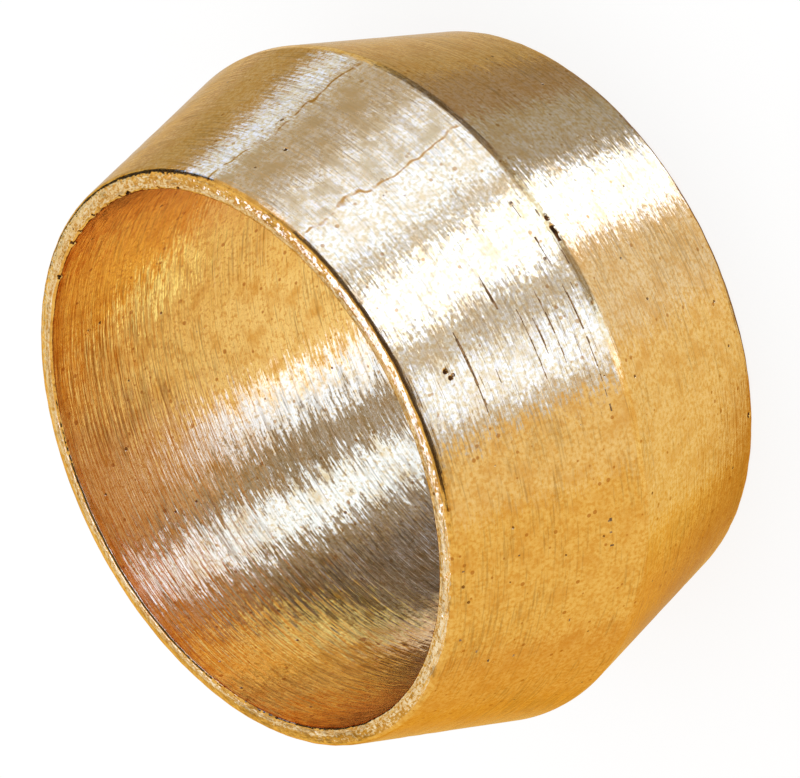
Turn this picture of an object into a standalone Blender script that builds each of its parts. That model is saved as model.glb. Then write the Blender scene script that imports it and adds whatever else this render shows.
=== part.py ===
"""Compression olive for 10 mm tube: one turned brass ring, two cones back to back over a plain bore.

The bore runs along Z. The lower end face lies on Z = 0, with the origin at the bore's centre.
Sizes are in metres.
"""

import math

import bmesh
import bpy
from mathutils import Vector

# The tube that the ring slides onto, and how much wider the bore is, both as diameters.
TUBE_DIAMETER = 0.0100
BORE_CLEARANCE = 0.0001

# The flat end face, from the bore's wall out to the foot of the cone.
RIM_WALL = 0.00035

# How far each cone climbs from the end face to the ridge, measured from the axis outwards.
RIDGE_RISE = 0.0010

# The whole length along the bore, and the narrow cylinder left between the two cones.
LENGTH = 0.0073
RIDGE_LAND = 0.00014

# Edges: the deburred outer edge of each end, the blunted ridge, and the cut at each mouth of the bore.
RIM_ROUND = 0.00004
RIDGE_ROUND = 0.00025
MOUTH_CUT = 0.00006

# Facets round the axis, and round each blunted edge.
STEPS_ROUND = 128
STEPS_EDGE = 3

BRASS_COLOUR = (0.79, 0.47, 0.15, 1.0)
BRASS_ROUGHNESS = 0.28

BORE_RADIUS = (TUBE_DIAMETER + BORE_CLEARANCE) / 2
RIM_RADIUS = BORE_RADIUS + RIM_WALL
RIDGE_RADIUS = RIM_RADIUS + RIDGE_RISE
MIDDLE = LENGTH / 2


def clear_scene():
    for thing in list(bpy.data.objects):
        bpy.data.objects.remove(thing, do_unlink=True)


def make_brass():
    material = bpy.data.materials.new("turned_brass")
    material.use_nodes = True
    shader = material.node_tree.nodes["Principled BSDF"]
    shader.inputs["Base Color"].default_value = BRASS_COLOUR
    shader.inputs["Metallic"].default_value = 1.0
    shader.inputs["Roughness"].default_value = BRASS_ROUGHNESS
    material.diffuse_color = BRASS_COLOUR
    material.roughness = BRASS_ROUGHNESS
    material.metallic = 1.0
    return material


def round_corner(before, corner, after, radius):
    """Points of an arc of this radius, tangent to both sides of the corner."""
    to_before = (before - corner).normalized()
    to_after = (after - corner).normalized()
    half_angle = to_before.angle(to_after) / 2
    centre = corner + (to_before + to_after).normalized() * radius / math.sin(half_angle)
    reach = radius / math.tan(half_angle)
    start = (corner + to_before * reach - centre).normalized()
    end = (corner + to_after * reach - centre).normalized()
    points = []
    for step in range(STEPS_EDGE + 1):
        points.append(centre + start.slerp(end, step / STEPS_EDGE) * radius)
    return points


def upper_outline():
    """The section from the ridge's middle up to the bore's middle, as (radius, height) points."""
    mouth = Vector((BORE_RADIUS, LENGTH - MOUTH_CUT))
    rim_inside = Vector((BORE_RADIUS + MOUTH_CUT, LENGTH))
    rim_edge = Vector((RIM_RADIUS, LENGTH))
    ridge_edge = Vector((RIDGE_RADIUS, MIDDLE + RIDGE_LAND / 2))
    ridge_middle = Vector((RIDGE_RADIUS, MIDDLE))
    points = round_corner(ridge_middle, ridge_edge, rim_edge, RIDGE_ROUND)
    points += round_corner(ridge_edge, rim_edge, rim_inside, RIM_ROUND)
    points += [rim_inside, mouth]
    return points


def ring_outline():
    """The whole section as a closed loop that runs down its outer side and up the bore."""
    upper = upper_outline()
    lower = [Vector((point.x, LENGTH - point.y)) for point in upper]
    return upper[::-1] + lower


def make_profile(name):
    section = bmesh.new()
    corners = [section.verts.new((point.x, 0.0, point.y)) for point in ring_outline()]
    for index, corner in enumerate(corners):
        section.edges.new((corners[index - 1], corner))
    mesh = bpy.data.meshes.new(name)
    section.to_mesh(mesh)
    section.free()
    return mesh


def make_olive(collection, material):
    ring = bpy.data.objects.new("olive", make_profile("olive"))
    collection.objects.link(ring)
    turn = ring.modifiers.new("turned", "SCREW")
    turn.axis = "Z"
    turn.angle = 2 * math.pi
    turn.steps = STEPS_ROUND
    turn.render_steps = STEPS_ROUND
    turn.use_merge_vertices = True
    turn.merge_threshold = 0.000001
    ring.data.materials.append(material)
    return ring


def freeze_smooth(ring):
    """Turns the section into the ring's own mesh, smooth round the axis and crisp at the edges."""
    graph = bpy.context.evaluated_depsgraph_get()
    section = ring.data
    solid = bpy.data.meshes.new_from_object(ring.evaluated_get(graph))
    ring.modifiers.clear()
    ring.data = solid
    bpy.data.meshes.remove(section)
    solid.name = ring.name
    solid.shade_smooth()
    solid.set_sharp_from_angle(angle=math.radians(30))


def main():
    clear_scene()
    collection = bpy.data.collections.new("compression_olive")
    bpy.context.scene.collection.children.link(collection)
    ring = make_olive(collection, make_brass())
    freeze_smooth(ring)


main()
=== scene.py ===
import math
import random
from collections import namedtuple

import bmesh
import bpy
from bpy.props import FloatProperty, FloatVectorProperty, IntProperty, PointerProperty
from bpy.types import Operator, Panel, PropertyGroup
from mathutils import Matrix, Vector, noise


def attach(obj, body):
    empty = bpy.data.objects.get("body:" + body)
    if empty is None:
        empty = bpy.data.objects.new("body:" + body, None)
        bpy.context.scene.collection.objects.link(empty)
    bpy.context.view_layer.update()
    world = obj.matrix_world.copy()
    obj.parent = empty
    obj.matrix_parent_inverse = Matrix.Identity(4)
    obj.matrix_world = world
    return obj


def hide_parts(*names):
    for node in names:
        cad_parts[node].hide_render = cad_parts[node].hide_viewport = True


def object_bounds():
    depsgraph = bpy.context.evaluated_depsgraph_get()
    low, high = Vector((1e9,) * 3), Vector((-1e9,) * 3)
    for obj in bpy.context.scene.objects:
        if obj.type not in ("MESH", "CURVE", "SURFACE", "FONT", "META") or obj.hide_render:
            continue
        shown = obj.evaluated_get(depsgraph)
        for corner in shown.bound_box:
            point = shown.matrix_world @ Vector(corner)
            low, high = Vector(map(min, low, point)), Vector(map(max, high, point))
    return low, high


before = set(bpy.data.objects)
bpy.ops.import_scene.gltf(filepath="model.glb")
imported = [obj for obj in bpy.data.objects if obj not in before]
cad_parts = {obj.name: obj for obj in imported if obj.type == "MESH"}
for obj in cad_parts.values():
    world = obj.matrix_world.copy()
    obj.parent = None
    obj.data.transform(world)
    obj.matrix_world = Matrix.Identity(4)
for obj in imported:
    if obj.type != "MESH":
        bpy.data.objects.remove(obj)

bl_info = {
    "name": "Compression olive",
    "version": (1, 0, 0),
    "blender": (4, 5, 0),
    "location": "3D View > Sidebar > Olive",
    "description": "Models a turned brass compression olive and lays out the stage around it",
    "category": "Object",
}

NODE = "olive"
MM = 0.001

CAD_LOW, CAD_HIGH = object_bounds()
CAD_BORE = min(corner.co.xy.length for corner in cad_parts[NODE].data.vertices)

# How far the lamps and cards stand from the ring. It is far enough for a whole cone to see each of them in
# nearly the same direction.
LAMP_DISTANCE = 0.20
CARD_DISTANCE = 0.23

# Angles round the axis are counted from -X by way of +Y in all these lists.

# Lines that the tool left on the upper cone: height over the ring's middle, half width and depth in
# millimetres, and the angles round the axis in degrees between which each runs.
TOOL_LINES = (
    (0.07, 0.014, 0.004, 250.0, 268.0),
    (0.22, 0.014, 0.0010, 262.0, 278.0),
    (0.37, 0.030, 0.0016, 250.0, 292.0),
    (0.55, 0.014, 0.0010, 268.0, 287.0),
    (0.70, 0.014, 0.0010, 263.0, 282.0),
    (0.86, 0.026, 0.0016, 264.0, 281.0),
    (1.10, 0.028, 0.0016, 262.0, 288.0),
    (1.28, 0.014, 0.0010, 266.0, 284.0),
    (1.57, 0.024, 0.0016, 259.0, 276.0),
    (2.05, 0.014, 0.0010, 268.0, 284.0),
    (2.45, 0.024, 0.0016, 262.0, 284.0),
)

# How many degrees a tool line takes to reach its full depth from either end.
LINE_FADE = 4.0

# Pits and nicks from knocks: angle round the axis in degrees, height, radius and depth in millimetres.
PITS = (
    (271.7, 6.53, 0.048, 0.045),
    (273.1, 6.49, 0.046, 0.040),
    (308.3, 7.09, 0.035, 0.014),
    (308.4, 6.02, 0.035, 0.014),
    (325.3, 4.91, 0.040, 0.016),
    (331.6, 5.82, 0.035, 0.014),
    (331.9, 5.60, 0.035, 0.014),
    (324.1, 7.02, 0.035, 0.014),
    (328.1, 6.63, 0.035, 0.014),
    (331.5, 6.32, 0.035, 0.014),
    (306.6, 4.33, 0.045, 0.012),
    (308.8, 4.31, 0.050, 0.010),
    (311.3, 4.30, 0.045, 0.012),
    (257.0, 3.62, 0.060, 0.030),
    (258.8, 3.63, 0.070, 0.035),
    (260.6, 3.63, 0.055, 0.028),
    (306.0, 0.17, 0.060, 0.035),
    (218.7, 6.05, 0.040, 0.020),
)

# A pit shallower than this, in millimetres, takes the tool lines' colour, which is dirt in a pit and painted
# shade in a line.
SHALLOW_PIT = 0.018

# Chips where the boring tool broke out at the upper mouth, by angle in degrees, and their radii in
# millimetres, which they take in turn.
MOUTH_CHIPS = (149.0, 159.5, 164.0, 171.0, 173.8, 177.2, 182.5, 185.8, 191.8, 196.0, 202.5)
CHIP_RADII = (0.055, 0.07, 0.045)

# How many shallow rings the tool's feed left on the outside and in the bore, and the seeds of their places.
FEED_RINGS = 40
OUTSIDE_SEED = 11
INSIDE_SEED = 12

# How far the blunted edges of the ends are filed unevenly, in millimetres.
FRAY_DEPTH = 0.010

# Where the middle of the stain lies round the axis, in degrees.
STAIN_ANGLE = 224.5

# Places of the ring's materials in its mesh.
CONES, BORE, ENDS, PIT_SHADE, LINE_SHADE_AND_PIT_DIRT = range(5)

# The painted shade on the floors of deep pits, and a colour that is painted shade in the tool lines and dirt
# in
# shallow pits: its name, and the colours of its darker and its lighter patches.
SHADE_AND_DIRT = (
    # Painted shade, near black, on the floors of the deep pits and the mouth chips.
    ("shade in pits", (0.030, 0.014, 0.007), (0.15, 0.060, 0.018)),
    # Painted shade in the tool lines, which is dirt where a shallow pit takes this colour.
    ("line shade and pit dirt", (0.14, 0.080, 0.040), (0.38, 0.22, 0.10)),
)

# The floor's radius, and the white of the part of it that the ring doesn't shade.
FLOOR_RADIUS = 0.25
FLOOR_WHITE = 1.02


class OliveSizes(PropertyGroup):
    """Sizes of the ring, which follow the CAD ring where it gives them."""

    ridge_radius: FloatProperty(
        name="Ridge radius",
        description="From the bore's axis to the ridge between the cones",
        default=CAD_HIGH.x,
        unit="LENGTH",
        precision=5,
    )
    length: FloatProperty(
        name="Length",
        description="From one end face to the other",
        default=CAD_HIGH.z,
        unit="LENGTH",
        precision=5,
    )
    bore_radius: FloatProperty(
        name="Bore radius",
        description="From the axis to the bore's wall",
        default=CAD_BORE,
        unit="LENGTH",
        precision=5,
    )
    rim_wall: FloatProperty(
        name="Rim wall",
        description="Width of the end face, from the bore to the foot of the cone",
        default=0.35 * MM,
        unit="LENGTH",
        precision=5,
    )
    ridge_land: FloatProperty(
        name="Ridge land",
        description="Width of the narrow cylinder between the cones",
        default=0.14 * MM,
        unit="LENGTH",
        precision=5,
    )
    ridge_round: FloatProperty(
        name="Ridge blunting",
        description="How far back from each edge of the land the cone starts to turn",
        default=0.035 * MM,
        unit="LENGTH",
        precision=5,
    )
    rim_slope: FloatProperty(
        name="Rim slope width",
        description="How far in from the rim's outer edge the end face starts to fall away",
        default=0.19 * MM,
        unit="LENGTH",
        precision=5,
    )
    rim_fall: FloatProperty(
        name="Rim fall",
        description="How far the end face falls from there to its outer edge",
        default=0.045 * MM,
        unit="LENGTH",
        precision=5,
    )
    rim_round: FloatProperty(
        name="Rim blunting",
        description="How far back from the rim's outer edge the deburring reaches",
        default=0.075 * MM,
        unit="LENGTH",
        precision=5,
    )
    mouth_round: FloatProperty(
        name="Mouth blunting",
        description="How far back from the bore's mouth the edge is broken",
        default=0.06 * MM,
        unit="LENGTH",
        precision=5,
    )
    steps_round: IntProperty(
        name="Steps round",
        description="Facets round the axis",
        default=288,
        min=32,
    )
    cone_rings: IntProperty(
        name="Cone rings",
        description="Rings of faces along each cone",
        default=72,
        min=8,
    )
    bore_rings: IntProperty(
        name="Bore rings",
        description="Rings of faces along the bore",
        default=48,
        min=8,
    )


class OliveFinish(PropertyGroup):
    """Colours and tool marks of the brass."""

    gold: FloatVectorProperty(
        name="Gold",
        description="The metal's own colour",
        default=(0.76, 0.39, 0.065),
        subtype="COLOR",
        size=3,
        min=0,
        max=1,
    )
    pale: FloatVectorProperty(
        name="Pale",
        description="The metal's colour on the crests that the tool has burnished",
        default=(0.86, 0.50, 0.12),
        subtype="COLOR",
        size=3,
        min=0,
        max=1,
    )
    amber: FloatVectorProperty(
        name="Amber",
        description="The metal's colour where it is a little tarnished",
        default=(0.68, 0.30, 0.04),
        subtype="COLOR",
        size=3,
        min=0,
        max=1,
    )
    # Painted shade: the colour that the dark lines lay over the metal, for the shade in its scratches.
    shadow: FloatVectorProperty(
        name="Shadow",
        description="The metal's colour in the scratches",
        default=(0.33, 0.155, 0.026),
        subtype="COLOR",
        size=3,
        min=0,
        max=1,
    )
    dull: FloatVectorProperty(
        name="Dull",
        description="The metal's colour in the stain",
        default=(0.58, 0.28, 0.040),
        subtype="COLOR",
        size=3,
        min=0,
        max=1,
    )
    rust: FloatVectorProperty(
        name="Rust",
        description="The metal's colour in the stain's outline and in rusty specks",
        default=(0.44, 0.135, 0.008),
        subtype="COLOR",
        size=3,
        min=0,
        max=1,
    )
    grime: FloatVectorProperty(
        name="Grime",
        description="The metal's colour in its smallest pits",
        default=(0.26, 0.100, 0.014),
        subtype="COLOR",
        size=3,
        min=0,
        max=1,
    )
    ring_depth: FloatProperty(
        name="Ring depth",
        description="Depth of the shallow rings that the tool's feed left",
        default=0.0012 * MM,
        unit="LENGTH",
        precision=6,
    )


class OliveStage(PropertyGroup):
    """The camera's place and the level of light."""

    camera_elevation: FloatProperty(
        name="Camera elevation",
        description="How high above the horizon the camera stands",
        default=math.radians(35.43),
        subtype="ANGLE",
    )
    camera_roll: FloatProperty(
        name="Camera roll",
        description="How far the camera is turned about its own line of sight",
        default=math.radians(-116.1),
        subtype="ANGLE",
    )
    camera_distance: FloatProperty(
        name="Camera distance",
        description="From the ring's centre to the camera",
        default=0.1512,
        unit="LENGTH",
        precision=4,
    )
    lens: FloatProperty(
        name="Lens",
        description="Focal length in millimetres for a picture 36 mm wide",
        default=383.5,
    )
    room_level: FloatProperty(
        name="Room level",
        description="Brightness of the plain white room in reflections",
        default=1.0,
    )
    floor_shade: FloatProperty(
        name="Floor shade",
        description="How much of the floor's white comes from the light that falls on it",
        default=0.20,
    )


def node(tree, kind, sockets=None, **settings):
    """A new node with its settings, and with each named or numbered socket set to a value or linked."""
    made = tree.nodes.new(kind)
    for name, value in settings.items():
        setattr(made, name, value)
    for key, value in (sockets or {}).items():
        if isinstance(value, bpy.types.NodeSocket):
            tree.links.new(value, made.inputs[key])
        else:
            made.inputs[key].default_value = value
    return made


def maths(tree, operation, first, second=0.0, third=0.0):
    sockets = {0: first, 1: second, 2: third}
    return node(tree, "ShaderNodeMath", sockets, operation=operation).outputs[0]


def vector_maths(tree, operation, first, second=(0.0, 0.0, 0.0)):
    """One vector operation; SCALE takes a number as its second value."""
    sockets = {0: first, "Scale" if operation == "SCALE" else 1: second}
    made = node(tree, "ShaderNodeVectorMath", sockets, operation=operation)
    return made.outputs["Value" if operation == "LENGTH" else "Vector"]


def spread(tree, value, low, high, to_low=0.0, to_high=1.0):
    """The value's range from low to high stretched to a new range, and clamped."""
    sockets = {"Value": value, "From Min": low, "From Max": high, "To Min": to_low, "To Max": to_high}
    return node(tree, "ShaderNodeMapRange", sockets, clamp=True).outputs["Result"]


def blend_colours(tree, factor, first, second):
    """A blend of two colours, which the Mix node takes in its sockets 6 and 7."""
    sockets = {0: factor, 6: first, 7: second}
    return node(tree, "ShaderNodeMix", sockets, data_type="RGBA").outputs[2]


def noise_of(tree, place, detail=2.0, roughness=0.5):
    sockets = {"Vector": place, "Scale": 1.0, "Detail": detail, "Roughness": roughness}
    return node(tree, "ShaderNodeTexNoise", sockets).outputs["Fac"]


def new_group(name, inputs, outputs):
    """An empty shader group with these sockets, and its input and output nodes."""
    tree = bpy.data.node_groups.new(name, "ShaderNodeTree")
    for label, kind, value in inputs:
        socket = tree.interface.new_socket(label, in_out="INPUT", socket_type=kind)
        if value is not None:
            socket.default_value = value
    for label in outputs:
        tree.interface.new_socket(label, in_out="OUTPUT", socket_type="NodeSocketFloat")
    return tree, tree.nodes.new("NodeGroupInput"), tree.nodes.new("NodeGroupOutput")


def lathe_marks_group():
    """Marks that run round the axis: scratches, broader lines, their lean to one side, and dark lines."""
    inputs = (
        ("Position", "NodeSocketVector", None),
        ("Across Face", "NodeSocketFloat", 0.0),
        ("Pitch", "NodeSocketFloat", 0.025),
        ("Run", "NodeSocketFloat", 0.25),
        ("Seed", "NodeSocketFloat", 0.0),
    )
    tree, enter, leave = new_group("lathe marks", inputs, ("Scratches", "Lines", "Lean", "Dark Lines"))
    millimetres = vector_maths(tree, "SCALE", enter.outputs["Position"], 1 / MM)
    parts = node(tree, "ShaderNodeSeparateXYZ", {0: millimetres})
    level = node(tree, "ShaderNodeCombineXYZ", {0: parts.outputs[0], 1: parts.outputs[1]}).outputs[0]
    radius = vector_maths(tree, "LENGTH", level)
    # Along a turned side the marks follow each other up the axis, and across a faced end out from it.
    reach = maths(tree, "SUBTRACT", radius, parts.outputs[2])
    along = maths(tree, "MULTIPLY_ADD", reach, enter.outputs["Across Face"], parts.outputs[2])
    turns = maths(tree, "DIVIDE", along, enter.outputs["Pitch"])
    lengths = maths(tree, "DIVIDE", 6.0, enter.outputs["Run"])
    circle = vector_maths(tree, "SCALE", vector_maths(tree, "NORMALIZE", level), lengths)
    slide = maths(tree, "MULTIPLY_ADD", enter.outputs["Seed"], 37.0, turns)
    place = vector_maths(tree, "ADD", circle, node(tree, "ShaderNodeCombineXYZ", {2: slide}).outputs[0])
    long_place = vector_maths(tree, "MULTIPLY", place, (0.22, 0.22, 0.62))
    side_place = vector_maths(tree, "ADD", place, (11.3, 5.7, 91.7))
    tree.links.new(noise_of(tree, place, 2.0), leave.inputs["Scratches"])
    tree.links.new(noise_of(tree, long_place, 2.0), leave.inputs["Lines"])
    tree.links.new(noise_of(tree, side_place, 1.5), leave.inputs["Lean"])
    # Dark lines, where the metal gets painted shade, are long and thin, and come in patches.
    aside = vector_maths(tree, "ADD", place, (3.1, 8.7, 47.3))
    dark_place = vector_maths(tree, "MULTIPLY", aside, (0.40, 0.40, 0.85))
    patch_place = vector_maths(tree, "SCALE", millimetres, 0.55)
    patches = spread(tree, noise_of(tree, patch_place, 1.0), 0.35, 0.65, -0.10, 0.06)
    dark_lines = maths(tree, "ADD", noise_of(tree, dark_place, 2.5, 0.6), patches)
    tree.links.new(dark_lines, leave.inputs["Dark Lines"])
    return tree


def grain_group():
    """Fine speckle, how far each speck leans, soft clouds of tarnish, rusty specks, and a few small pits."""
    inputs = (("Position", "NodeSocketVector", None), ("Speck Size", "NodeSocketFloat", 0.070))
    tree, enter, leave = new_group("brass grain", inputs, ("Speckle", "Facets", "Cloud", "Specks", "Pits"))
    millimetres = vector_maths(tree, "SCALE", enter.outputs["Position"], 1 / MM)
    fineness = maths(tree, "DIVIDE", 1.0, enter.outputs["Speck Size"])
    specks = vector_maths(tree, "SCALE", millimetres, fineness)
    clouds = vector_maths(tree, "SCALE", millimetres, 2.4)
    tree.links.new(noise_of(tree, specks, 1.0), leave.inputs["Speckle"])
    tree.links.new(noise_of(tree, clouds, 3.0, 0.6), leave.inputs["Cloud"])
    apart = vector_maths(tree, "ADD", specks, (31.7, 12.9, 8.3))
    tree.links.new(noise_of(tree, apart, 1.0), leave.inputs["Facets"])
    dots = node(tree, "ShaderNodeTexVoronoi", {"Vector": millimetres, "Scale": 5.2})
    picked = node(tree, "ShaderNodeSeparateColor", {0: dots.outputs["Color"]}).outputs[0]
    width = spread(tree, picked, 0.50, 1.0, 0.0, 0.26)
    on_dot = maths(tree, "SUBTRACT", width, dots.outputs["Distance"])
    tree.links.new(spread(tree, on_dot, 0.0, 0.06), leave.inputs["Specks"])
    cells = node(tree, "ShaderNodeTexVoronoi", {"Vector": millimetres, "Scale": 3.6})
    chosen = node(tree, "ShaderNodeSeparateColor", {0: cells.outputs["Color"]}).outputs[0]
    size = spread(tree, chosen, 0.72, 1.0, 0.0, 0.15)
    inside = maths(tree, "SUBTRACT", size, cells.outputs["Distance"])
    tree.links.new(spread(tree, inside, 0.0, 0.05), leave.inputs["Pits"])
    return tree


# The metal's tint where it is seen at a low angle.
WARM_EDGE = (1.0, 0.80, 0.46, 1.0)
WHITE_EDGE = (1.0, 1.0, 1.0, 1.0)

# How a side of the ring was cut. across_face is 1 for a faced end and 0 for a turned side. pitch and run are
# the spacing and length of its marks in millimetres, seed picks their places, and tilt is their depth in
# millimetres. stretch draws its glints out across the marks, lean is how far the marks turn sideways, and
# grainy how far the grain does. edge is its tint at a low angle, scored how dark the painted shade of
# its dark lines is, paler how much of the pale colour it has all over, and stained 1 where it has the stain.
Cut = namedtuple(
    "Cut", "name across_face pitch run seed roughness stretch tilt lean grainy edge scored paler stained"
)
CUTS = (
    Cut("turned cones", 0.0, 0.036, 0.30, 1.0, 0.19, 0.6, 0.0036, 0.19, 0.12, WARM_EDGE, 0.45, 0.0, 1.0),
    Cut("bored wall", 0.0, 0.045, 0.40, 4.0, 0.19, 0.6, 0.0045, 0.34, 0.13, WHITE_EDGE, 0.55, 1.0, 0.0),
    Cut("faced ends", 1.0, 0.040, 0.12, 7.0, 0.15, 0.3, 0.0035, 0.50, 0.50, WARM_EDGE, 0.70, 0.3, 0.0),
)


def stain_group():
    """A dull stain with a wavy brown outline, on one side of the upper cone."""
    inputs = (("Position", "NodeSocketVector", None), ("Middle", "NodeSocketFloat", 0.0))
    tree, enter, leave = new_group("stain", inputs, ("Inside", "Outline"))
    millimetres = vector_maths(tree, "SCALE", enter.outputs["Position"], 1 / MM)
    parts = node(tree, "ShaderNodeSeparateXYZ", {0: millimetres})
    turned = maths(tree, "ARCTAN2", parts.outputs[1], maths(tree, "MULTIPLY", parts.outputs[0], -1.0))
    slow = maths(tree, "SUBTRACT", noise_of(tree, vector_maths(tree, "SCALE", millimetres, 0.8), 3.0), 0.5)
    off = maths(tree, "ADD", turned, maths(tree, "MULTIPLY_ADD", slow, 0.20, enter.outputs["Middle"]))
    gap = maths(tree, "SUBTRACT", 0.20, maths(tree, "ABSOLUTE", off))
    upper = spread(tree, parts.outputs[2], 3.75, 3.80)
    inside = maths(tree, "MULTIPLY", spread(tree, gap, 0.0, 0.04), upper)
    outline = spread(tree, maths(tree, "ABSOLUTE", gap), 0.002, 0.007, 1.0, 0.0)
    broken = spread(tree, noise_of(tree, vector_maths(tree, "SCALE", millimetres, 3.4), 2.0), 0.36, 0.52)
    outline = maths(tree, "MULTIPLY", maths(tree, "MULTIPLY", outline, upper), broken)
    tree.links.new(inside, leave.inputs["Inside"])
    tree.links.new(outline, leave.inputs["Outline"])
    return tree


def brass_material(cut, finish, marks_group, grain_tree, stain_tree):
    """Bare brass with marks round the axis, a speckled grain, tarnish and, where it has it, the stain."""
    material = bpy.data.materials.new(cut.name)
    material.use_nodes = True
    tree = material.node_tree
    shader = tree.nodes["Principled BSDF"]
    shader.inputs["Metallic"].default_value = 1.0
    shader.inputs["Specular Tint"].default_value = cut.edge
    shader.inputs["Anisotropic"].default_value = cut.stretch
    shader.inputs["Anisotropic Rotation"].default_value = 0.25
    position = node(tree, "ShaderNodeTexCoord").outputs["Object"]
    marks = node(tree, "ShaderNodeGroup", node_tree=marks_group)
    grain = node(tree, "ShaderNodeGroup", node_tree=grain_tree)
    tree.links.new(position, marks.inputs["Position"])
    tree.links.new(position, grain.inputs["Position"])
    marks.inputs["Across Face"].default_value = cut.across_face
    marks.inputs["Pitch"].default_value = cut.pitch
    marks.inputs["Run"].default_value = cut.run
    marks.inputs["Seed"].default_value = cut.seed

    crests = spread(tree, grain.outputs["Speckle"], 0.40, 0.82, cut.paler, 1.0)
    metal = blend_colours(tree, crests, (*finish.gold, 1.0), (*finish.pale, 1.0))
    tarnish = spread(tree, grain.outputs["Cloud"], 0.48, 0.76)
    metal = blend_colours(tree, tarnish, metal, (*finish.amber, 1.0))
    hollows = spread(tree, grain.outputs["Speckle"], 0.32, 0.48, 0.75, 0.0)
    metal = blend_colours(tree, hollows, metal, (*finish.amber, 1.0))
    rusty = maths(tree, "MULTIPLY", grain.outputs["Specks"], 0.75)
    metal = blend_colours(tree, rusty, metal, (*finish.rust, 1.0))
    # Painted shade: the dark lines darken the metal towards the shadow colour, for the shade in the
    # scratches.
    scored = spread(tree, marks.outputs["Dark Lines"], 0.50, 0.68, 0.0, cut.scored)
    metal = blend_colours(tree, scored, metal, (*finish.shadow, 1.0))
    rough = spread(tree, marks.outputs["Lines"], 0.3, 0.7, cut.roughness * 0.8, cut.roughness * 1.2)
    if cut.stained:
        stain = node(tree, "ShaderNodeGroup", node_tree=stain_tree)
        tree.links.new(position, stain.inputs["Position"])
        # The turn that brings the stain's middle round to zero.
        stain.inputs["Middle"].default_value = math.radians(360 - STAIN_ANGLE)
        clouds = spread(tree, grain.outputs["Cloud"], 0.4, 0.6, 0.2, 0.8)
        dull = maths(tree, "MULTIPLY", stain.outputs["Inside"], clouds)
        metal = blend_colours(tree, dull, metal, (*finish.dull, 1.0))
        metal = blend_colours(tree, stain.outputs["Outline"], metal, (*finish.rust, 1.0))
        rough = maths(tree, "MULTIPLY_ADD", dull, 0.16, rough)
    metal = blend_colours(tree, grain.outputs["Pits"], metal, (*finish.grime, 1.0))
    tree.links.new(metal, shader.inputs["Base Color"])
    tree.links.new(rough, shader.inputs["Roughness"])

    height = maths(tree, "MULTIPLY_ADD", marks.outputs["Lines"], 1.6, marks.outputs["Scratches"])
    height = maths(tree, "MULTIPLY_ADD", grain.outputs["Pits"], -2.0, height)
    bump = node(tree, "ShaderNodeBump", {"Height": height, "Distance": cut.tilt * MM, "Strength": 1.0})
    # The marks also lean to one side or the other, which breaks each glint into short dashes.
    lean = maths(tree, "MULTIPLY", maths(tree, "SUBTRACT", marks.outputs["Lean"], 0.5), cut.lean)
    facets = maths(tree, "SUBTRACT", grain.outputs["Facets"], 0.5)
    lean = maths(tree, "MULTIPLY_ADD", facets, cut.grainy, lean)
    parts = node(tree, "ShaderNodeSeparateXYZ", {0: position})
    back = maths(tree, "MULTIPLY", parts.outputs[1], -1.0)
    round_axis = node(tree, "ShaderNodeCombineXYZ", {0: back, 1: parts.outputs[0]}).outputs[0]
    sideways = vector_maths(tree, "SCALE", vector_maths(tree, "NORMALIZE", round_axis), lean)
    facing = vector_maths(tree, "NORMALIZE", vector_maths(tree, "ADD", bump.outputs[0], sideways))
    tree.links.new(facing, shader.inputs["Normal"])
    tangent = node(tree, "ShaderNodeTangent", direction_type="RADIAL", axis="Z")
    tree.links.new(tangent.outputs[0], shader.inputs["Tangent"])
    return material


def shade_and_dirt_material(name, darker, lighter, grain_tree):
    """A patchy matte colour in a hollow: painted shade in deep pits and in the tool lines, and dirt in
    shallow pits.
    """
    material = bpy.data.materials.new(name)
    material.use_nodes = True
    tree = material.node_tree
    shader = tree.nodes["Principled BSDF"]
    shader.inputs["Specular IOR Level"].default_value = 0.0
    grain = node(tree, "ShaderNodeGroup", node_tree=grain_tree)
    tree.links.new(node(tree, "ShaderNodeTexCoord").outputs["Object"], grain.inputs["Position"])
    patchy = spread(tree, grain.outputs["Speckle"], 0.35, 0.65)
    tree.links.new(blend_colours(tree, patchy, (*darker, 1.0), (*lighter, 1.0)), shader.inputs["Base Color"])
    tree.links.new(spread(tree, grain.outputs["Speckle"], 0.3, 0.7, 0.45, 0.7), shader.inputs["Roughness"])
    return material


def section_corners(sizes):
    """Corners of the section, as (radius, height, how far back the corner is blunted)."""
    middle = sizes.length / 2
    rim = sizes.bore_radius + sizes.rim_wall
    widening = (sizes.ridge_radius - rim) / (middle - sizes.ridge_land / 2)
    upper = [
        (sizes.bore_radius, sizes.length, sizes.mouth_round),
        (rim - sizes.rim_slope, sizes.length, 0.4 * sizes.rim_round),
        (rim + sizes.rim_fall * widening, sizes.length - sizes.rim_fall, sizes.rim_round),
        (sizes.ridge_radius, middle + sizes.ridge_land / 2, sizes.ridge_round),
    ]
    lower = [(radius, sizes.length - height, back) for radius, height, back in reversed(upper)]
    return upper + lower


def draw_section(bm, sizes):
    """The ring's section as a closed wire with its corners blunted."""
    corners = section_corners(sizes)
    verts = [bm.verts.new((radius, 0.0, height)) for radius, height, back in corners]
    for index, vert in enumerate(verts):
        bm.edges.new((verts[index - 1], vert))
    for vert, (*_, back) in zip(verts, corners):
        bmesh.ops.bevel(
            bm,
            geom=[vert],
            offset=back,
            offset_type="OFFSET",
            segments=6,
            profile=0.5,
            affect="VERTICES",
            material=-1,
        )


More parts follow.
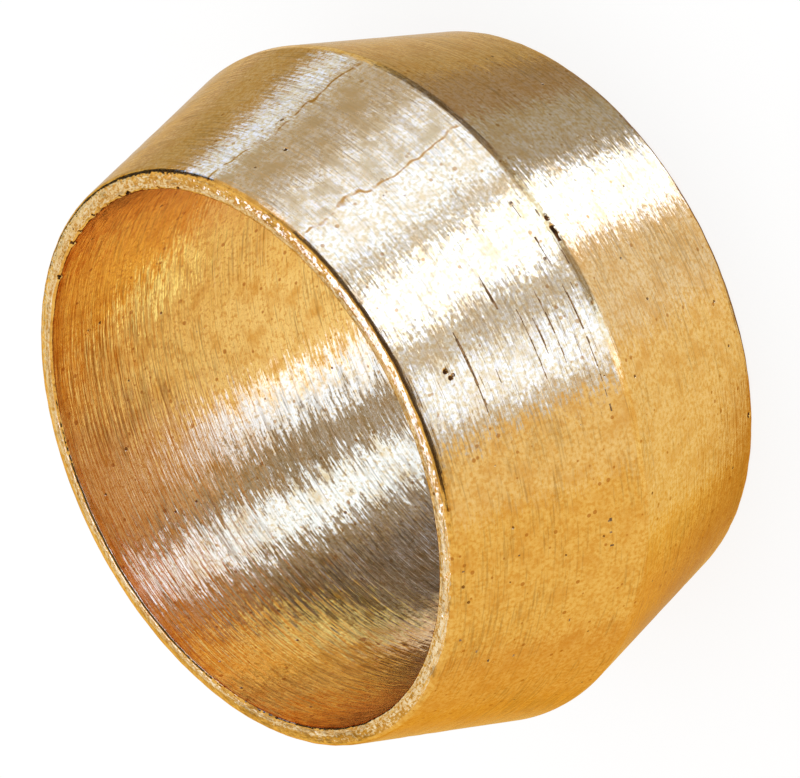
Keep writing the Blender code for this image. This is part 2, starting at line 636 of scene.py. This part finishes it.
def split_section(bm, sizes):
    """Cuts the long sides of the section into the edges of rings."""
    for edge in list(bm.edges):
        span = edge.calc_length()
        if span > sizes.length * 0.8:
            cuts = sizes.bore_rings - 1
        elif span > sizes.length * 0.3:
            cuts = sizes.cone_rings - 1
        elif span > sizes.rim_wall * 0.4:
            cuts = 5
        else:
            continue
        bmesh.ops.subdivide_edges(bm, edges=[edge], cuts=cuts)


def on_cone(vert, sizes):
    """True for a point on either cone's side, short of the blunted edges."""
    away = abs(vert.co.z - sizes.length / 2)
    return vert.co.xy.length > sizes.bore_radius + sizes.rim_wall and away > sizes.ridge_land


def gather_rings(bm, sizes):
    """Slides the nearest seven points of the upper cone together where each tool line but the first is to be
    cut.
    """
    side = [vert for vert in bm.verts if on_cone(vert, sizes) and vert.co.z > sizes.length / 2]
    side.sort(key=lambda vert: vert.co.z)
    foot = side[0].co.copy()
    slope = (side[-1].co - foot) / (side[-1].co.z - foot.z)
    for over, half_width, *_ in TOOL_LINES[1:]:
        height = sizes.length / 2 + over * MM
        nearest = min(range(3, len(side) - 3), key=lambda index: abs(side[index].co.z - height))
        for step, share in enumerate((-1.7, -1.0, -0.5, 0.0, 0.5, 1.0, 1.7), -3):
            target = height + share * half_width * MM
            side[nearest + step].co = foot + slope * (target - foot.z)


def feed_rings(sizes, depth, seed):
    """Shallow rings from the tool's feed, as (height, half width, depth)."""
    rng = random.Random(seed)
    rings = []
    for _ in range(FEED_RINGS):
        height = rng.uniform(0.03, 0.97) * sizes.length
        rings.append((height, rng.uniform(0.06, 0.12) * MM, depth * rng.uniform(0.3, 1.0)))
    return rings


def sink_rings(bm, sizes, finish):
    """Sinks the section's points into the metal where a feed ring passes."""
    outside = feed_rings(sizes, finish.ring_depth, OUTSIDE_SEED)
    inside = feed_rings(sizes, finish.ring_depth, INSIDE_SEED)
    for vert in bm.verts:
        on_bore = vert.co.x < sizes.bore_radius + 0.001 * MM
        if not (on_bore or on_cone(vert, sizes)):
            continue
        sink = 0.0
        for height, half_width, depth in inside if on_bore else outside:
            away = abs(vert.co.z - height) / half_width
            if away < 1.0:
                sink += depth * (1 - away * away) ** 2
        vert.co.x += sink if on_bore else -sink


def turn_section(bm, sizes):
    """Spins the section into the ring, with its normals outwards."""
    bmesh.ops.spin(
        bm,
        geom=list(bm.verts) + list(bm.edges),
        cent=(0.0, 0.0, 0.0),
        axis=(0.0, 0.0, 1.0),
        dvec=(0.0, 0.0, 0.0),
        angle=2 * math.pi,
        steps=sizes.steps_round,
        use_merge=True,
        use_duplicate=False,
    )
    bmesh.ops.remove_doubles(bm, verts=list(bm.verts), dist=0.0001 * MM)
    bmesh.ops.recalc_face_normals(bm, faces=list(bm.faces))
    settle_order(bm)


def settle_order(bm):
    """Sorts edges and faces by their corners, because the spin leaves them in another order on each run."""
    bm.verts.index_update()
    count = len(bm.verts)

    def first_and_last(part):
        places = [vert.index for vert in part.verts]
        return min(places) * count + max(places)

    bm.edges.sort(key=first_and_last)
    bm.faces.sort(key=first_and_last)


def line_share(place, over, first, last):
    """How much of a tool line's depth is reached at a place, from 0 to 1."""
    turned = math.degrees(math.atan2(place.y, -place.x)) % 360
    inside = min(turned - first, last - turned) / LINE_FADE
    wander = noise.noise(place / (0.45 * MM) + Vector((over * 31, 0, 0)))
    wander += 0.6 * noise.noise(place / (0.16 * MM) + Vector((over * 17, 0, 0)))
    return min(max(inside, 0.0), 1.0) * min(max(0.4 + 2.0 * wander, 0.0), 1.0)


def cut_tool_lines(bm, sizes):
    """Cuts the tool lines into the upper cone in broken stretches, with painted shade in their deepest parts.
    """
    for over, half_width, depth, first, last in TOOL_LINES:
        height = sizes.length / 2 + over * MM
        for face in bm.faces:
            centre = face.calc_center_median()
            away = abs(centre.z - height) / (half_width * MM)
            # Painted shade along the middle of the line.
            if face.material_index == CONES and away < 0.9:
                if line_share(centre, over, first, last) > (0.4 if away < 0.5 else 0.75):
                    face.material_index = LINE_SHADE_AND_PIT_DIRT
        for vert in bm.verts:
            away = abs(vert.co.z - height) / (half_width * MM)
            if away < 1.0 and vert.co.xy.length > sizes.bore_radius + sizes.rim_wall:
                share = line_share(vert.co, over, first, last)
                outward = Vector((vert.co.x, vert.co.y, 0.0)).normalized()
                vert.co -= outward * (depth * MM * share * (1 - away * away))


def fray_rims(bm, sizes):
    """Makes the blunted edges of both ends a little uneven, as a file leaves them."""
    rim = sizes.bore_radius + sizes.rim_wall
    for vert in bm.verts:
        end_gap = min(vert.co.z, sizes.length - vert.co.z)
        out = vert.co.xy.length
        at_rim = out > rim - sizes.rim_round and end_gap < sizes.rim_fall + sizes.rim_round
        at_mouth = out < sizes.bore_radius + sizes.mouth_round and end_gap < sizes.mouth_round
        if not (at_rim or at_mouth) or end_gap < 0.002 * MM:
            continue
        wander = 0.5 + noise.noise(vert.co / (0.22 * MM)) + 0.5 * noise.noise(vert.co / (0.8 * MM))
        outward = Vector((vert.co.x, vert.co.y, 0.0)).normalized()
        vert.co += outward * ((-1 if at_rim else 1) * FRAY_DEPTH * MM * max(wander, 0.0))


def place_on_side(sizes, angle, height):
    """The point of the ring's outer side at this angle and height, and the direction into the metal there."""
    away = abs(height - sizes.length / 2) - sizes.ridge_land / 2
    rise = sizes.ridge_radius - sizes.bore_radius - sizes.rim_wall
    fall = rise / (sizes.length / 2 - sizes.ridge_land / 2)
    out = sizes.ridge_radius - max(away, 0.0) * fall
    radial = Vector((-math.cos(angle), math.sin(angle), 0.0))
    lift = math.copysign(fall, height - sizes.length / 2) if away > 0 else 0.0
    inward = -(radial + Vector((0.0, 0.0, lift))).normalized()
    return radial * out + Vector((0.0, 0.0, height)), inward


def dent(bm, place, inward, radius, depth):
    """Splits the faces around a place finely and pushes them in as a small bowl; a deep one gets painted
    shade on its floor, a shallow one dirt.
    """
    dirt = LINE_SHADE_AND_PIT_DIRT if depth < SHALLOW_PIT * MM else PIT_SHADE
    reach = radius + 0.12 * MM
    close = [face for face in bm.faces if abs(face.verts[0].co.z - place.z) < reach + 0.1 * MM]
    near = [face for face in close if (face.calc_center_median() - place).length < reach]
    # A dictionary keeps the edges in order, so that each run splits them alike.
    edges = dict.fromkeys(edge for face in near for edge in face.edges)
    bmesh.ops.subdivide_edges(bm, edges=list(edges), cuts=3, use_grid_fill=True)
    # Painted shade on a deep bowl's floor, and dirt on a shallow one's.
    for face in bm.faces:
        if abs(face.verts[0].co.z - place.z) < radius:
            if (face.calc_center_median() - place).length < 0.75 * radius:
                face.material_index = dirt
    for vert in bm.verts:
        gap = vert.co - place
        if abs(gap.z) > radius:
            continue
        share = 1 - (gap.length / radius) ** 2
        if share > 0:
            vert.co += inward * depth * share


def knock_dents(bm, sizes):
    for angle, height, radius, depth in PITS:
        place, inward = place_on_side(sizes, math.radians(angle), height * MM)
        dent(bm, place, inward, radius * MM, depth * MM)
    for index, angle in enumerate(MOUTH_CHIPS):
        radial = Vector((-math.cos(math.radians(angle)), math.sin(math.radians(angle)), 0.0))
        place = radial * (sizes.bore_radius + 0.02 * MM) + Vector((0.0, 0.0, sizes.length - 0.02 * MM))
        inward = (radial - Vector((0.0, 0.0, 1.0))).normalized()
        radius = CHIP_RADII[index % len(CHIP_RADII)] * MM
        dent(bm, place, inward, radius, 0.7 * radius)


def paint_faces(bm, sizes):
    """Gives the cones, the bore and the end faces their own material slots."""
    for face in bm.faces:
        centre = face.calc_center_median()
        outward = face.normal.xy.dot(centre.xy.normalized())
        if min(centre.z, sizes.length - centre.z) < sizes.rim_fall:
            face.material_index = ENDS
        elif outward < 0:
            face.material_index = BORE
        else:
            face.material_index = CONES
        face.smooth = True


def make_ring(sizes, finish):
    bm = bmesh.new()
    draw_section(bm, sizes)
    split_section(bm, sizes)
    gather_rings(bm, sizes)
    sink_rings(bm, sizes, finish)
    turn_section(bm, sizes)
    paint_faces(bm, sizes)
    cut_tool_lines(bm, sizes)
    fray_rims(bm, sizes)
    knock_dents(bm, sizes)
    mesh = bpy.data.meshes.new("olive_ring")
    bm.to_mesh(mesh)
    bm.free()
    marks_group = lathe_marks_group()
    grain_tree = grain_group()
    stain_tree = stain_group()
    for cut in CUTS:
        mesh.materials.append(brass_material(cut, finish, marks_group, grain_tree, stain_tree))
    # The painted shade of the pits and tool lines, which is dirt in the shallow pits.
    for name, darker, lighter in SHADE_AND_DIRT:
        mesh.materials.append(shade_and_dirt_material(name, darker, lighter, grain_tree))
    ring = bpy.data.objects.new("olive_ring", mesh)
    bpy.context.scene.collection.objects.link(ring)
    return ring


class OLIVE_OT_turn_ring(Operator):
    """Model the turned ring with its tool marks and put it in the CAD ring's place"""

    bl_idname = "olive.turn_ring"
    bl_label = "Turn Ring"

    def execute(self, context):
        ring = make_ring(context.scene.olive_sizes, context.scene.olive_finish)
        if len(ring.data.polygons) == 0:
            raise RuntimeError("the ring has no faces")
        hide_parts(NODE)
        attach(ring, "root")
        return {"FINISHED"}


def camera_axes(stage):
    """Right, up and forward directions of the camera, which stands on the -Y side."""
    ahead = Vector((0.0, math.cos(stage.camera_elevation), -math.sin(stage.camera_elevation)))
    level = Vector((1.0, 0.0, 0.0))
    over = level.cross(ahead)
    right = level * math.cos(stage.camera_roll) + over * math.sin(stage.camera_roll)
    up = over * math.cos(stage.camera_roll) - level * math.sin(stage.camera_roll)
    return right, up, ahead


def add_camera(scene, stage, sizes):
    right, up, ahead = camera_axes(stage)
    centre = Vector((0.0, 0.0, sizes.length / 2))
    # The ring's centre stands a little left of the picture's middle, and above it.
    aside = right * (0.0186 * sizes.ridge_radius) - up * (0.0072 * sizes.ridge_radius)
    camera = bpy.data.objects.new("camera", bpy.data.cameras.new("camera"))
    camera.data.lens = stage.lens
    camera.data.clip_start = 0.01
    camera.data.clip_end = 5.0
    turn = Matrix((right, up, -ahead)).transposed()
    camera.matrix_world = Matrix.Translation(centre + aside - ahead * stage.camera_distance) @ turn.to_4x4()
    scene.collection.objects.link(camera)
    scene.camera = camera


# Strip lamps, by the angle round the axis at which each one's glint lies, how wide the glint is, how high the
# lamp's middle stands and how tall it is, all in degrees, and the colour that the brass shows in the glint.
STRIPS = (
    ("key_front", 257.0, 11.0, -2.0, 24.0, (1.00, 1.10, 1.16)),
    ("key_bore", 255.5, 8.5, -34.0, 32.0, (0.68, 0.71, 0.56)),
    ("key_rear", 255.8, 7.2, -68.0, 30.0, (1.10, 1.22, 1.40)),
    ("fade_rear", 246.0, 12.0, -68.0, 30.0, (0.07, 0.11, 0.10)),
    ("low_front", 275.5, 9.5, -5.0, 18.0, (0.56, 0.66, 0.73)),
    ("low_bore", 277.0, 8.5, -34.0, 28.0, (0.68, 0.72, 0.62)),
    ("strip_top", 236.5, 18.0, -4.0, 26.0, (0.52, 0.62, 0.70)),
    ("strip_back", 207.5, 5.5, -8.0, 34.0, (0.31, 0.46, 0.66)),
)
# A softbox overhead with two fill lamps below, and plain cards that darken or warm the room in some
# directions: bearing from -Y towards +X, elevation, width and height in degrees, and the colour that the
# brass shows there.
SOFTBOXES = (
    ("softbox_over", 169.0, 66.0, 19.0, 20.0, (0.9, 1.0, 1.1)),
    ("fill_left", 126.0, -35.5, 48.0, 9.0, (0.26, 0.18, 0.06)),
    ("fill_near", -43.0, -35.5, 36.0, 10.0, (0.11, 0.13, 0.060)),
)
CARDS = (
    ("card_side", 86.0, -14.0, 52.0, 30.0, (0.52, 0.41, 0.27)),
    ("card_back", 130.0, -30.0, 36.0, 44.0, (0.43, 0.26, 0.100)),
    ("card_far", 167.0, -34.0, 38.0, 44.0, (0.58, 0.32, 0.058)),
    ("card_low", 86.0, -56.0, 54.0, 26.0, (0.31, 0.19, 0.10)),
    ("card_shade", 80.0, -36.0, 44.0, 16.0, (0.09, 0.05, 0.015)),
    ("card_front", 18.0, -8.0, 88.0, 32.0, (0.60, 0.50, 0.345)),
    ("card_fade", -39.0, -8.0, 26.0, 32.0, (0.80, 0.47, 0.13)),
    ("card_bore", 24.0, -38.0, 70.0, 28.0, (0.26, 0.165, 0.060)),
    ("card_mid", 15.0, 25.0, 94.0, 28.0, (0.10, 0.06, 0.025)),
    ("card_over", 15.0, 57.0, 94.0, 38.0, (0.06, 0.03, 0.010)),
    ("card_edge", 135.0, 14.0, 64.0, 32.0, (0.03, 0.02, 0.01)),
    ("gold_high", 168.0, 46.0, 24.0, 22.0, (0.58, 0.29, 0.045)),
    ("gold_low", 192.0, 24.0, 24.0, 22.0, (0.56, 0.28, 0.045)),
    ("cream_high", 192.0, 46.0, 24.0, 22.0, (0.84, 0.64, 0.34)),
    ("cream_low", 168.0, 24.0, 24.0, 22.0, (0.80, 0.58, 0.30)),
    ("card_under", 180.0, -75.0, 44.0, 36.0, (0.16, 0.07, 0.03)),
    ("card_pale", -50.0, -64.0, 60.0, 26.0, (0.80, 0.48, 0.14)),
    ("card_paler", -4.0, -64.0, 32.0, 26.0, (0.76, 0.52, 0.24)),
    ("card_gold", -121.0, -28.0, 32.0, 44.0, (0.70, 0.32, 0.05)),
    ("card_deep", -160.0, -30.0, 46.0, 48.0, (0.66, 0.27, 0.018)),
)
# Flat glowing cards under the ring, which stand in for the ground close to it as the bore and the lower cone
# show it, the darker ones for its shade near the ring: height, middle (X and Y), inner and outer radius in
# millimetres, the angles in degrees between which they run, and the colour that the brass shows there.
FOOT_CARDS = (
    ("foot_right", 0.02, 0.0, 0.0, 4.05, 5.05, 114.0, 175.0, (0.78, 0.55, 0.13)),
    ("foot_left", 0.02, 0.0, 0.0, 4.05, 5.05, 34.0, 58.0, (1.20, 0.90, 0.20)),
    ("foot_low", 0.02, 0.0, 0.0, 4.05, 5.05, 12.0, 34.0, (0.72, 0.42, 0.085)),
    ("foot_turn", 0.02, 0.0, 0.0, 1.20, 5.05, 340.0, 371.0, (0.84, 0.50, 0.11)),
    ("foot_near", 0.02, 0.0, 0.0, 1.20, 5.05, 252.0, 340.0, (0.52, 0.25, 0.06)),
    ("foot_wedge", -3.0, 0.3, 2.2, 6.6, 8.6, 302.0, 385.0, (0.50, 0.20, 0.020)),
)


def light_colour(finish, shown):
    """The light that brass shows in this colour: its strongest part, and its colour with that part at 1."""
    parts = [look / (0.85 * gold + 0.15 * pale) for look, gold, pale in zip(shown, finish.gold, finish.pale)]
    strength = max(parts)
    return strength, [part / strength for part in parts]


def glint_direction(stage, glint, tilt):
    """Where a lamp stands to be seen, from the camera, in a side that faces glint at this tilt.

    glint is the angle round the axis, from -X by way of +Y, and tilt the lamp's own height angle.
    """
    to_camera = -camera_axes(stage)[2]
    facing = Vector((-math.cos(glint), math.sin(glint), 0.0))
    across = Vector((-facing.y, facing.x, 0.0))
    off = -to_camera.dot(across)
    span = math.sqrt(1 - off * off)
    return (across * off + (facing * math.cos(tilt) + Vector((0, 0, 1)) * math.sin(tilt)) * span).normalized()


def bearing_direction(bearing, elevation):
    level = math.cos(elevation)
    return Vector((math.sin(bearing) * level, -math.cos(bearing) * level, math.sin(elevation)))


def aim(thing, sizes, out, above, distance):
    """Stands a lamp or card out in one direction, with its face to the ring and its height towards above."""
    centre = Vector((0.0, 0.0, sizes.length / 2))
    side = (above - out).cross(out).normalized()
    turn = Matrix((side, out.cross(side), out)).transposed()
    thing.matrix_world = Matrix.Translation(centre + out * distance) @ turn.to_4x4()


def panel_size(distance, degrees):
    return 2 * distance * math.tan(math.radians(degrees / 2))


def add_lamp(scene, sizes, name, width, height, shown, out, above):
    lamp = bpy.data.lights.new(name, "AREA")
    lamp.shape = "RECTANGLE"
    lamp.size = panel_size(LAMP_DISTANCE, width)
    lamp.size_y = panel_size(LAMP_DISTANCE, height)
    strength, lamp.color = light_colour(scene.olive_finish, shown)
    lamp.energy = strength * lamp.size * lamp.size_y * math.pi
    stand = bpy.data.objects.new(name, lamp)
    scene.collection.objects.link(stand)
    aim(stand, sizes, out, above, LAMP_DISTANCE)
    stand.visible_camera = False
    stand.visible_diffuse = False


def add_card(scene, sizes, name, width, height, shown, out, above):
    bm = bmesh.new()
    bmesh.ops.create_grid(bm, x_segments=1, y_segments=1, size=0.5)
    spans = (panel_size(CARD_DISTANCE, width), panel_size(CARD_DISTANCE, height), 1.0)
    bmesh.ops.scale(bm, vec=spans, verts=list(bm.verts))
    card = add_glow(scene, name, bm, shown)
    aim(card, sizes, out, above, CARD_DISTANCE)


def add_glow(scene, name, bm, shown):
    """A card of one even colour, which only the metal's reflections show."""
    mesh = bpy.data.meshes.new(name)
    bm.to_mesh(mesh)
    bm.free()
    material = bpy.data.materials.new(name)
    material.use_nodes = True
    tree = material.node_tree
    tree.nodes.clear()
    strength, colour = light_colour(scene.olive_finish, shown)
    glow = node(tree, "ShaderNodeEmission", {"Color": (*colour, 1.0), "Strength": strength})
    tree.links.new(glow.outputs[0], tree.nodes.new("ShaderNodeOutputMaterial").inputs["Surface"])
    mesh.materials.append(material)
    card = bpy.data.objects.new(name, mesh)
    scene.collection.objects.link(card)
    card.visible_camera = False
    card.visible_diffuse = False
    card.visible_shadow = False
    return card


def add_foot_card(scene, name, height, across, along, inner, outer, first, last, shown):
    bm = bmesh.new()
    middle = Vector((across, along, height)) * MM
    start = Vector((-math.cos(math.radians(first)), math.sin(math.radians(first)), 0.0)) * MM
    ends = [bm.verts.new(middle + start * radius) for radius in (inner, outer)]
    edge = bm.edges.new(ends)
    bmesh.ops.spin(
        bm,
        geom=ends + [edge],
        cent=middle,
        axis=(0.0, 0.0, -1.0),
        dvec=(0.0, 0.0, 0.0),
        angle=math.radians(last - first),
        steps=24,
        use_merge=False,
        use_duplicate=False,
    )
    add_glow(scene, name, bm, shown)


def add_floor(scene, stage):
    bm = bmesh.new()
    bmesh.ops.create_circle(bm, cap_ends=True, segments=96, radius=FLOOR_RADIUS)
    mesh = bpy.data.meshes.new("floor")
    bm.to_mesh(mesh)
    bm.free()
    shade = stage.floor_shade
    material = bpy.data.materials.new("floor")
    material.use_nodes = True
    tree = material.node_tree
    tree.nodes.clear()
    cloth = node(tree, "ShaderNodeBsdfDiffuse", {"Color": (shade, shade, shade, 1.0)})
    glow = node(tree, "ShaderNodeEmission", {"Color": (1.0, 1.0, 1.0, 1.0), "Strength": FLOOR_WHITE - shade})
    both = node(tree, "ShaderNodeAddShader", {0: cloth.outputs[0], 1: glow.outputs[0]})
    tree.links.new(both.outputs[0], tree.nodes.new("ShaderNodeOutputMaterial").inputs["Surface"])
    mesh.materials.append(material)
    floor = bpy.data.objects.new("floor", mesh)
    scene.collection.objects.link(floor)
    # The metal's reflections leave the floor out, and show the white room and the cards and lamps below it.
    floor.visible_glossy = False
    floor.visible_shadow = False


def add_room(scene, stage):
    """A plain white room, which the camera always sees as white."""
    world = bpy.data.worlds.new("room")
    world.use_nodes = True
    tree = world.node_tree
    tree.nodes.clear()
    seen = node(tree, "ShaderNodeLightPath").outputs["Is Camera Ray"]
    level = node(tree, "ShaderNodeMix", {0: seen, 2: stage.room_level, 3: 1.0}, data_type="FLOAT").outputs[0]
    glow = node(tree, "ShaderNodeBackground", {"Color": (1.0, 1.0, 1.0, 1.0), "Strength": level})
    tree.links.new(glow.outputs[0], tree.nodes.new("ShaderNodeOutputWorld").inputs["Surface"])
    scene.world = world


class OLIVE_OT_set_stage(Operator):
    """Set the pale floor, the white room, the lamps, the cards and the camera"""

    bl_idname = "olive.set_stage"
    bl_label = "Set Stage"

    def execute(self, context):
        scene = context.scene
        stage = scene.olive_stage
        sizes = scene.olive_sizes
        scene.view_settings.view_transform = "Standard"
        add_camera(scene, stage, sizes)
        add_floor(scene, stage)
        add_room(scene, stage)
        for name, glint, width, tilt, height, shown in STRIPS:
            out = glint_direction(stage, math.radians(glint), math.radians(tilt))
            above = glint_direction(stage, math.radians(glint), math.radians(tilt + 2))
            # A side that turns by one degree moves what it shows by two.
            add_lamp(scene, sizes, name, 2 * width, height, shown, out, above)
        for rows, add in ((SOFTBOXES, add_lamp), (CARDS, add_card)):
            for name, bearing, elevation, width, height, shown in rows:
                out = bearing_direction(math.radians(bearing), math.radians(elevation))
                above = bearing_direction(math.radians(bearing), math.radians(elevation + 2))
                add(scene, sizes, name, width, height, shown, out, above)
        for card in FOOT_CARDS:
            add_foot_card(scene, *card)
        return {"FINISHED"}


class OLIVE_PT_sidebar(Panel):
    """Sizes, finish and stage of the compression olive"""

    bl_label = "Compression Olive"
    bl_idname = "OLIVE_PT_sidebar"
    bl_space_type = "VIEW_3D"
    bl_region_type = "UI"
    bl_category = "Olive"

    def draw(self, context):
        scene = context.scene
        for group in (scene.olive_sizes, scene.olive_finish, scene.olive_stage):
            box = self.layout.box()
            for name in group.__annotations__:
                box.prop(group, name)
        self.layout.operator(OLIVE_OT_turn_ring.bl_idname)
        self.layout.operator(OLIVE_OT_set_stage.bl_idname)


CLASSES = (OliveSizes, OliveFinish, OliveStage, OLIVE_OT_turn_ring, OLIVE_OT_set_stage, OLIVE_PT_sidebar)


def register():
    for kind in CLASSES:
        bpy.utils.register_class(kind)
    bpy.types.Scene.olive_sizes = PointerProperty(type=OliveSizes)
    bpy.types.Scene.olive_finish = PointerProperty(type=OliveFinish)
    bpy.types.Scene.olive_stage = PointerProperty(type=OliveStage)


def unregister():
    del bpy.types.Scene.olive_stage
    del bpy.types.Scene.olive_finish
    del bpy.types.Scene.olive_sizes
    for kind in reversed(CLASSES):
        bpy.utils.unregister_class(kind)


def main():
    register()
    bpy.ops.olive.turn_ring()
    bpy.ops.olive.set_stage()


if __name__ == "__main__":
    main()
